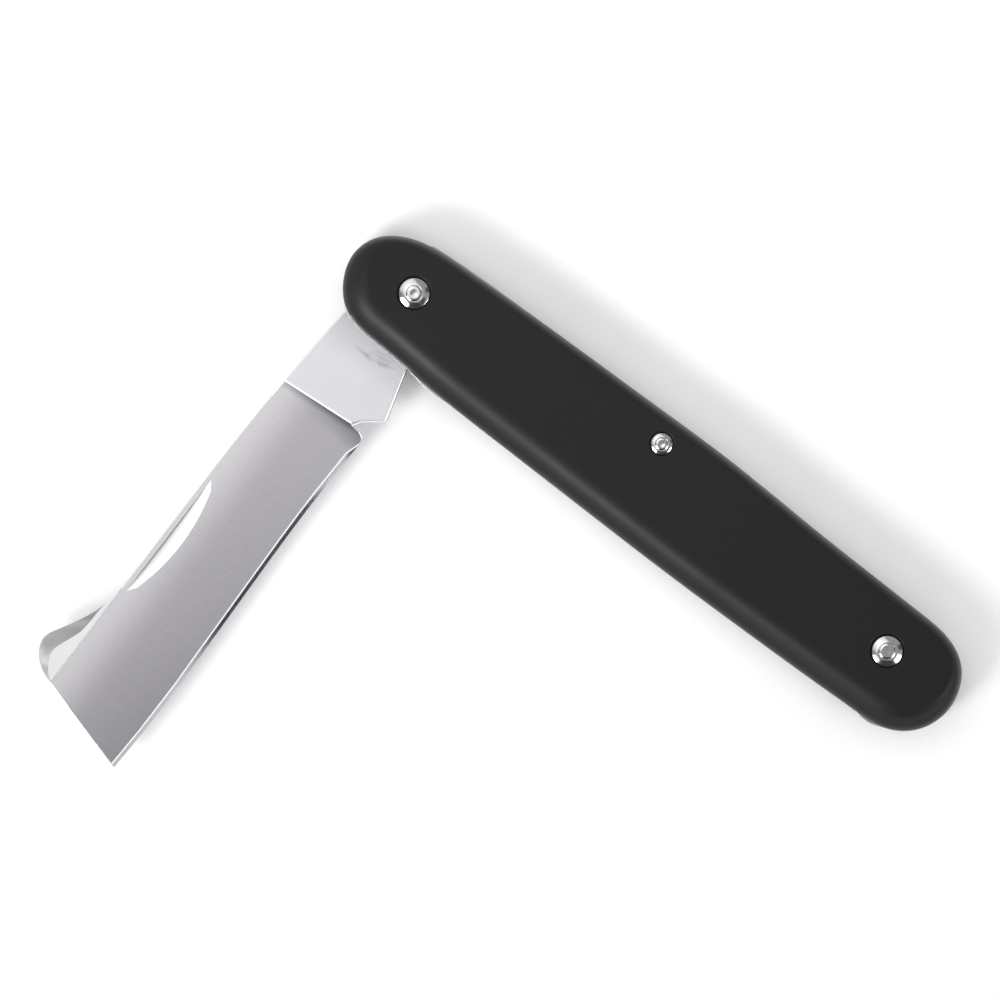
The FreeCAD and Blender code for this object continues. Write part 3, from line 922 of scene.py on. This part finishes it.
@dataclass
class Rivets:
    """Three pins with peened heads, each with a domed washer on either side."""

    seat_depth: float = 0.8
    dome_slope: float = 0.24
    crest_height: float = 0.66
    dome_power: float = 1.3         # 1 is a cone and 2 a round dome
    land: float = 0.12
    hole_gap: float = 0.02
    rim_round: float = 0.06
    bore_corner: float = 0.03
    foot_corner: float = 0.04
    dome_steps: int = 12
    head_steps: int = 5
    head_overlap: float = 0.05
    head_rim: float = 0.04
    head_height: float = 0.11
    dimple: float = 0.05
    crown_share: float = 0.6

    def turned(self, profile: list[Point], pin: PinPlace, facing: Side | None) -> Mesh:
        """Turns a closed or pole-to-pole profile and notes each point's place about the axis.

        Args:
            profile: points as radius and height.
            pin: the pin's place.
            facing: BACK turns the piece over to the other side of the knife.

        Returns:
            The closed mesh in its place.
        """
        bm = bmesh.new()
        turn_profile(bm, profile, pin.at())
        close_up(bm)
        if facing is Side.BACK:
            turn_over(bm, LAYOUT.total)
        own = bm.verts.layers.float_vector.new("turning")
        for vert in bm.verts:
            vert[own] = vert.co - pin.at()
        return bm

    def washer_profile(self, pin: PinPlace) -> list[Point]:
        """The washer's section, from its bore over the dome and back underneath."""
        foot = LAYOUT.total - self.seat_depth
        hole = pin.shank + self.hole_gap
        land = hole + self.land
        crest = foot + self.crest_height
        outer = pin.washer
        bore, under = self.bore_corner, self.foot_corner
        points = [(hole, foot), (hole, crest - bore), (hole + bore, crest), (land, crest)]
        width = outer - self.rim_round / 2 - land
        fall = width * self.dome_slope
        rim_top = crest - fall
        for i in range(1, self.dome_steps + 1):
            share = i / self.dome_steps
            points.append((land + width * share, crest - fall * share ** self.dome_power))
        points += [(outer, rim_top - self.rim_round), (outer, foot + under)]
        points += [(outer - under, foot), (hole, foot)]
        return points

    def pin_profile(self, pin: PinPlace) -> list[Point]:
        """The pin's section from the middle of one head to the middle of the other."""
        crest = LAYOUT.total - self.seat_depth + self.crest_height
        head = pin.shank + self.head_overlap
        crown = head * self.crown_share
        upper = [(0.0, self.head_height - self.dimple)]
        for i in range(1, self.head_steps + 1):
            share = i / self.head_steps
            upper.append((crown * share, self.head_height - self.dimple * (1 - share ** 2) ** 2))
        for i in range(1, self.head_steps + 1):
            share = i / self.head_steps
            drop = (self.head_height - self.head_rim) * share ** 2
            upper.append((crown + (head - crown) * share, self.head_height - drop))
        upper += [(head, 0.0), (pin.shank, 0.0)]
        front = [(radius, crest + height) for radius, height in upper]
        back = [(radius, LAYOUT.total - height) for radius, height in reversed(front)]
        return front + back

    def build(self) -> list[Piece]:
        """Places the pins and washers."""
        placed = []
        for pin in LAYOUT.pins:
            mesh = self.turned(self.pin_profile(pin), pin, None)
            placed.append(place_piece(mesh, f"rivet_{pin.name}", f"{pin.name}_pin", "handle", [POLISHED]))
            for side in Side:
                name = f"{side.name.lower()}_{pin.name}_washer"
                mesh = self.turned(self.washer_profile(pin), pin, side)
                placed.append(place_piece(mesh, f"washer_{side.name.lower()}_{pin.name}", name, "handle",
                                          [POLISHED]))
        return placed


# The blade


LEFT_SHARP = {Zone.HONED, Zone.WIRE, Zone.PLUNGE, Zone.NICK, Zone.FLANK, Zone.FLAT}


@dataclass
class Blade:
    """The blade with its tang, ground faces, bark lifter and nail nick, all edges softly broken."""

    thickness: float = 1.8
    spine_height: float = 7.2
    plunge_at: float = 19.6
    notch: Point = (19.15, -4.25)   # the plunge's end, along and across
    sliver: float = 0.02            # points by the notch that are closer than this are one
    lean_in: float = 0.5            # the wall comes to its lean over this much, from the notch
    lifter_at: float = 57.0         # along: where the bark lifter begins
    flat_tilt: float = 0.8          # degrees: a face that tilts less is the sheet's own
    ground_tilt: float = 5.0        # less: ground; and less than the next: honed
    honed_tilt: float = 30.0
    nick_tilt: float = 50.0         # less: the nick's floor; more: its steep side
    rim_tilt: float = 80.0          # less: the lifter's bevel; more: the blade's narrow side
    real_corner: float = 40.0       # degrees: an edge that turns less isn't broken
    soft_edge: float = 25.0         # and one that turns less than this isn't seen
    tang_corner: float = 0.42
    tang_back_corner: float = 0.14
    spine_corner: float = 0.1
    brow_back: float = 0.5          # how far the plunge's broken edge begins before its wall
    brow_depth: float = 0.17        # that edge's depth, and its width along the blade
    brow_width: float = 0.24
    wall_lean: float = 0.4          # how far the wall below it leans out for its height
    heel_to: float = 21.0           # along: no honing before this
    heel_round: float = -5.25       # across: where the heel's rounding begins
    heel_edge: float = 0.165        # half the heel's thickness at its rim
    wire_width: float = 0.18        # the bright wire along the honed edge and round the heel
    wire_height: float = 0.06
    nick_rise: float = 0.22         # the nick's steep side stands this much nearer the spine,
    nick_drop: float = 0.28         # its round side nearer the edge,
    nick_deeper: float = 0.1        # and its floor deeper, than the CAD's
    ground_slope: float = 0.0328    # rise of the ground face towards the spine
    brim_depth: float = 0.02        # above this the steep side stays where it is
    flank_lean: float = 0.2
    kick_start: float = 15.422      # along: where the round of the kick's corner begins
    kick_foot: float = -7.1         # across: and where it ends
    kick_length: float = 0.626
    kick_reach: float = 0.35        # how much fuller it is at that end
    kick_rise: float = 0.166
    rim_corner: float = 0.07
    nick: Quad = (36.0, 55.2, 4.55, 6.3)
    steps: int = 4
    widest: float = field(init=False, default=0.5)

    def along_across(self, place: Vector) -> tuple[float, float, float]:
        """A point's length along the blade, height towards the spine and height off its middle plane."""
        turn = math.radians(LAYOUT.open_angle)
        along = place.x * math.cos(turn) - place.y * math.sin(turn)
        across = -(place.x * math.sin(turn) + place.y * math.cos(turn))
        return along, across, place.z - LAYOUT.middle_z

    def zone(self, face: Face) -> Zone:
        """Which part of the blade's surface a face belongs to."""
        along, across, off = self.along_across(face.calc_center_median())
        tilt = math.degrees(math.acos(min(1.0, abs(face.normal.z))))
        start, end, low, high = self.nick
        if start < along < end and low < across < high and off > 0 and tilt > self.ground_tilt:
            return Zone.NICK if tilt < self.nick_tilt else Zone.FLANK
        if tilt < self.flat_tilt:
            return Zone.FLAT if across > self.spine_height else Zone.TANG
        if across > self.spine_height + self.sliver and tilt < self.rim_tilt:
            return Zone.LIFTER
        if tilt < self.ground_tilt:
            return Zone.GROUND
        if tilt < self.honed_tilt and across < 0:
            return Zone.HONED if along > self.heel_to else Zone.GROUND
        if abs(along - self.plunge_at) < 1 and abs(off) > 0.1 and len(face.verts) < 8 and tilt > 85:
            normal = self.along_across(face.normal + Vector((0, 0, LAYOUT.middle_z)))
            if normal[0] > 0.9:
                return Zone.PLUNGE
        return Zone.SPINE

    def corner(self, edge: Edge, zones: set[Zone]) -> float:
        """How far an edge between faces of the given zones is rounded back.

        Args:
            edge: the edge.
            zones: the zones of its two faces.

        Returns:
            A width in millimetres, 0 for an edge that stays sharp.
        """
        angle = math.degrees(edge.calc_face_angle(0))
        along, across, _ = self.along_across((edge.verts[0].co + edge.verts[1].co) / 2)
        if angle < self.real_corner or zones & LEFT_SHARP:
            return 0.0
        if zones == {Zone.TANG, Zone.SPINE}:
            return self.tang_back_corner if across > 4.5 else self.tang_corner
        if zones == {Zone.GROUND, Zone.SPINE}:
            heel_front = along < self.heel_to and across < 0
            lifter_side = along > self.lifter_at and across > 6
            return 0.0 if heel_front or lifter_side else self.spine_corner
        if zones == {Zone.LIFTER, Zone.SPINE}:
            return self.rim_corner
        return 0.0

    def weld_notch(self, bm: Mesh) -> None:
        """Merges the points by the notch that stand closer than any real edge is long."""
        near = []
        for vert in bm.verts:
            along, across, _ = self.along_across(vert.co)
            if math.hypot(along - self.notch[0], across - self.notch[1]) < 2 * self.sliver:
                near.append(vert)
        bmesh.ops.remove_doubles(bm, verts=near, dist=self.sliver)
        left = [vert for vert in near if vert.is_valid and 0 < abs(vert.co.z - LAYOUT.middle_z) < 0.5]
        bmesh.ops.dissolve_verts(bm, verts=[vert for vert in left if len(vert.link_edges) == 2])

    def round_tang(self, bm: Mesh) -> None:
        """Rounds the tang's corners, apart from its back, before the plunge is leaned."""
        edges = []
        for edge in bm.edges:
            met = {Zone(face.material_index) for face in edge.link_faces}
            if self.corner(edge, met) == self.tang_corner:
                edges.append(edge)
        round_edges(bm, edges, self.tang_corner, self.steps)

    def lean_plunge(self, bm: Mesh) -> None:
        """Breaks the plunge's upper edge and leans the wall below it, as the wheel cuts it.

        The wall stands upright at the notch and comes to its lean over its first half millimetre.
        """
        spinewards = LAYOUT.spinewards
        start = spinewards * self.notch[1]
        cuts = [(start + spinewards * self.lean_in * share, spinewards) for share in (1.0, 0.5)]
        for side in Side:
            height = LAYOUT.middle_z + side.value * (self.thickness / 2 - self.brow_depth)
            cuts.append((Vector((0, 0, height)), Vector((0, 0, 1))))
        for place, normal in cuts:
            walls = [face for face in bm.faces if face.material_index == Zone.PLUNGE.value]
            parts = {part for wall in walls for part in (wall, *wall.edges, *wall.verts)}
            bmesh.ops.bisect_plane(bm, geom=list(parts), dist=1e-5, plane_co=place, plane_no=normal)
        walls = [face for face in bm.faces if face.material_index == Zone.PLUNGE.value]
        for vert in {vert for wall in walls for vert in wall.verts}:
            depth = self.thickness / 2 - abs(vert.co.z - LAYOUT.middle_z)
            brow = min(depth, self.brow_depth)
            shift = brow * self.brow_width / self.brow_depth + (depth - brow) * self.wall_lean
            inside = self.along_across(vert.co)[1] - self.notch[1]
            share = min(1.0, max(0.0, inside / self.lean_in))
            vert.co += LAYOUT.tipwards * (shift - self.brow_back) * share
        # the wall below the broken edge takes the flank finish, whose dark colour is painted shade
        for wall in walls:
            depth = self.thickness / 2 - abs(wall.calc_center_median().z - LAYOUT.middle_z)
            if depth > self.brow_depth:
                wall.material_index = Zone.FLANK.value

    def thicken_heel(self, bm: Mesh) -> None:
        """Takes the heel's rim up to the ground faces, because the stone doesn't reach it."""
        for vert in bm.verts:
            along, across, off = self.along_across(vert.co)
            if along < self.heel_to and across < self.heel_round and 0 < abs(off) < self.heel_edge:
                vert.co.z = LAYOUT.middle_z + math.copysign(self.heel_edge, off)

    def raise_wire(self, bm: Mesh) -> None:
        """Raises the fine bright wire that honing leaves along the edge's upper side and the heel."""
        pair = {Zone.GROUND.value, Zone.HONED.value}
        edges = []
        for edge in bm.edges:
            met = {face.material_index for face in edge.link_faces}
            along, across, _ = self.along_across((edge.verts[0].co + edge.verts[1].co) / 2)
            heel = along < self.heel_to and across < self.heel_round
            if met == pair or heel and met == {Zone.GROUND.value, Zone.SPINE.value}:
                edges.append(edge)
        for vert in round_edges(bm, edges, self.wire_width / 2, 2, Zone.WIRE.value):
            met = {face.material_index for face in vert.link_faces}
            if met == {Zone.WIRE.value}:
                vert.co.z += math.copysign(self.wire_height, vert.co.z - LAYOUT.middle_z)

    def fill_kick(self, bm: Mesh) -> None:
        """Makes the round at the kick's corner fuller."""
        for vert in bm.verts:
            along, across, _ = self.along_across(vert.co)
            share = (along - self.kick_start) / self.kick_length
            if 0 < share < 1.05 and across < self.kick_foot:
                vert.co += LAYOUT.tipwards * self.kick_reach * share
                vert.co += LAYOUT.spinewards * self.kick_rise * share ** 2

    def widen_nick(self, bm: Mesh) -> None:
        """Draws the nick's two sides apart over the ground face and sinks its floor."""
        for vert in bm.verts:
            met = {Zone(face.material_index) for face in vert.link_faces}
            if Zone.NICK not in met:
                continue
            shift = self.nick_rise if Zone.FLANK in met else -self.nick_drop
            vert.co += LAYOUT.spinewards * shift
            vert.co.z += shift * self.ground_slope if Zone.GROUND in met else -self.nick_deeper

    def lean_flank(self, verts: set[Vert]) -> None:
        """Leans the foot of the nick's steep side away from the spine."""
        brim = max(vert.co.z for vert in verts) - self.brim_depth
        for vert in verts:
            vert.co -= LAYOUT.spinewards * max(0.0, brim - vert.co.z) * self.flank_lean

    def forging(self) -> Mesh:
        """The blade as the CAD has it, with its zones numbered and its corners marked."""
        bm = cad_copy("blade")
        self.weld_notch(bm)
        bm.normal_update()
        for face in bm.faces:
            face.material_index = self.zone(face).value
        self.fill_kick(bm)
        self.widen_nick(bm)
        self.lean_flank({vert for face in bm.faces if face.material_index == Zone.FLANK.value
                         for vert in face.verts})
        self.round_tang(bm)
        self.lean_plunge(bm)
        self.thicken_heel(bm)
        self.raise_wire(bm)
        bm.normal_update()
        width = bm.edges.layers.float.new("bevel_weight_edge")
        for edge in bm.edges:
            met = {Zone(face.material_index) for face in edge.link_faces}
            one_surface = len(met) < 2 or met == {Zone.TANG, Zone.SPINE}
            edge.smooth = one_surface and edge.calc_face_angle(0) < math.radians(self.soft_edge)
            edge[width] = self.corner(edge, met) / self.widest
            if edge[width] > 0:
                edge.smooth = True
        return bm

    def build(self) -> list[Piece]:
        """Places the blade."""
        finishes = [BLADE_FINISHES[zone] for zone in Zone]
        piece = place_piece(self.forging(), "blade_steel_piece", "blade", "blade", finishes, 181.0)
        corners = piece.modifiers.new("broken_corners", "BEVEL")
        corners.limit_method = "WEIGHT"
        corners.offset_type = "OFFSET"
        corners.width = self.widest * MM
        corners.segments = self.steps
        corners.profile = 0.5
        corners.use_clamp_overlap = False
        corners.material = -1
        piece.modifiers.move(len(piece.modifiers) - 1, 0)
        return [piece]


# The studio


@dataclass(frozen=True)
class Softbox:
    """A soft square light with a honeycomb grid. Places are in metres from the middle of the picture.

    right and up are the picture's directions, and height is above the table. The grid lets light out
    within half the spread, in degrees, round the direction to the light's target.
    """

    name: str
    right: float
    up: float
    height: float
    size: float
    radiance: float
    spread: float
    target: Point = (-0.012, 0.028)

    @property
    def power(self) -> float:
        """The light's power, for its radiance straight ahead."""
        half = math.radians(self.spread / 2)
        gain = math.tan(half) / (math.tan(half) - half)
        return self.radiance * math.pi * self.size ** 2 / gain


@dataclass
class Studio:
    """The pale table, the soft lights, the surroundings and the camera that looks straight down."""

    centre: Point = (-14.6, -15.05)     # model millimetres under the middle of the picture
    turn: float = 37.108                # degrees from the handle to the picture's right
    picture: float = 133.33             # millimetres across the picture
    focus_height: float = 9.5
    distance: float = 2000.0
    table_radius: float = 6.0
    ceiling: float = 0.36               # radiance of the ceiling
    walls: float = 2.0                  # of the walls' bright upper band
    horizon: float = 0.4                # share of that at the walls' foot
    ceiling_from: float = 0.7           # sine of the elevation where the ceiling begins
    walls_to: float = 0.5               # of the one where the walls end
    walls_from: float = 0.5             # where their bright band begins
    foot_to: float = 0.1                # and where their foot ends
    flags: tuple[Quad, ...] = (
        (-90.0, 55.0, 24.0, 0.85),      # azimuth in the picture, elevation, half width, darkness
        (-38.0, 62.0, 10.0, 0.85),
        (17.0, 56.0, 8.0, 0.8),
        (180.0, 52.0, 14.0, 0.4),
    )
    boxes: tuple[Softbox, ...] = (
        Softbox("key_lower_left", -0.25, -0.17, 0.40, 0.22, 24.0, 30.0),
        Softbox("side_lower_right", 0.25, -0.15, 0.36, 0.14, 9.0, 40.0),
        Softbox("panel_above_front_end", -0.07, 0.10, 0.28, 0.22, 1.45, 56.0),
    )

    def table(self) -> Piece:
        """The table top, just under the knife."""
        bm = bmesh.new()
        bmesh.ops.create_circle(bm, cap_ends=True, segments=96, radius=self.table_radius)
        bmesh.ops.translate(bm, verts=bm.verts[:], vec=(0, 0, -0.02 * MM))
        mesh = bpy.data.meshes.new("table_top")
        bm.to_mesh(mesh)
        bm.free()
        mesh.materials.append(TABLE.material())
        top = bpy.data.objects.new("table_top", mesh)
        bpy.context.scene.collection.objects.link(top)
        return top

    def lights(self) -> list[Piece]:
        """The softboxes, each turned to its target."""
        made = []
        turn = Matrix.Rotation(math.radians(self.turn), 3, "Z")
        middle = Vector((self.centre[0] * MM, self.centre[1] * MM, 0))
        for box in self.boxes:
            data = bpy.data.lights.new(box.name, "AREA")
            data.shape = "SQUARE"
            data.size = box.size
            data.energy = box.power
            data.spread = math.radians(box.spread)
            lamp = bpy.data.objects.new(box.name, data)
            aim = middle + turn @ Vector((*box.target, 0))
            place = middle + turn @ Vector((box.right, box.up, box.height))
            lamp.location = place
            lamp.rotation_euler = (aim - place).to_track_quat("-Z", "Y").to_euler()
            bpy.context.scene.collection.objects.link(lamp)
            made.append(lamp)
        return made

    def surroundings(self) -> bpy.types.World:
        """A white room with a greyer ceiling and some dark flags, which the polished steel reflects."""
        world = bpy.data.worlds.new("white_room")
        world.use_nodes = True
        tree = world.node_tree
        tree.nodes.clear()
        towards = add_node(tree, "TexCoord").outputs["Generated"]
        height = add_node(tree, "SeparateXYZ", {0: towards}).outputs["Z"]
        light = add_node(tree, "MapRange", {
            "Value": height, "From Min": self.walls_to, "From Max": self.ceiling_from,
            "To Min": self.walls, "To Max": self.ceiling}, interpolation_type="SMOOTHSTEP").outputs[0]
        foot = add_node(tree, "MapRange", {
            "Value": height, "From Min": self.foot_to, "From Max": self.walls_from,
            "To Min": self.horizon, "To Max": 1.0}, interpolation_type="SMOOTHSTEP").outputs[0]
        light = add_node(tree, "Math", {0: light, 1: foot}, operation="MULTIPLY").outputs[0]
        for azimuth, elevation, width, darkness in self.flags:
            round_z, rise = math.radians(azimuth + self.turn), math.radians(elevation)
            aim = (math.cos(round_z) * math.cos(rise), math.sin(round_z) * math.cos(rise), math.sin(rise))
            near = add_node(tree, "VectorMath", {0: towards, 1: aim}, operation="DOT_PRODUCT")
            shade = add_node(tree, "MapRange", {
                "Value": near.outputs["Value"], "From Min": math.cos(math.radians(width)),
                "From Max": math.cos(math.radians(width * 0.6)), "To Min": 1.0, "To Max": 1.0 - darkness},
                interpolation_type="SMOOTHSTEP").outputs[0]
            light = add_node(tree, "Math", {0: light, 1: shade}, operation="MULTIPLY").outputs[0]
        back = add_node(tree, "Background", {"Color": linear("#ffffff"), "Strength": light})
        add_node(tree, "OutputWorld", {"Surface": back.outputs[0]})
        bpy.context.scene.world = world
        return world

    def camera(self) -> Piece:
        """The camera, straight above the middle of the picture."""
        data = bpy.data.cameras.new("overhead_camera")
        data.sensor_width = 36.0
        data.lens = data.sensor_width * self.distance / self.picture
        data.clip_start, data.clip_end = 0.05, 50.0
        camera = bpy.data.objects.new("overhead_camera", data)
        place = Vector((*self.centre, self.distance + self.focus_height))
        camera.location = place * MM
        camera.rotation_euler = (0, 0, math.radians(self.turn))
        bpy.context.scene.collection.objects.link(camera)
        bpy.context.scene.camera = camera
        return camera

    def build(self) -> None:
        """Sets the stage."""
        self.table()
        self.lights()
        self.surroundings()
        self.camera()
        bpy.context.scene.view_settings.view_transform = "Standard"


def main() -> None:
    """Builds the knife and its stage."""
    logging.basicConfig(level=logging.INFO, format="%(name)s: %(message)s")
    Studio().build()
    for assembly in (Scales(), Liners(), Backspring(), Rivets(), Blade()):
        for piece in assembly.build():
            faces = len(piece.data.polygons)
            log.info("%s: %s with %d faces", type(assembly).__name__, piece.name, faces)


if __name__ == "__main__":
    main()
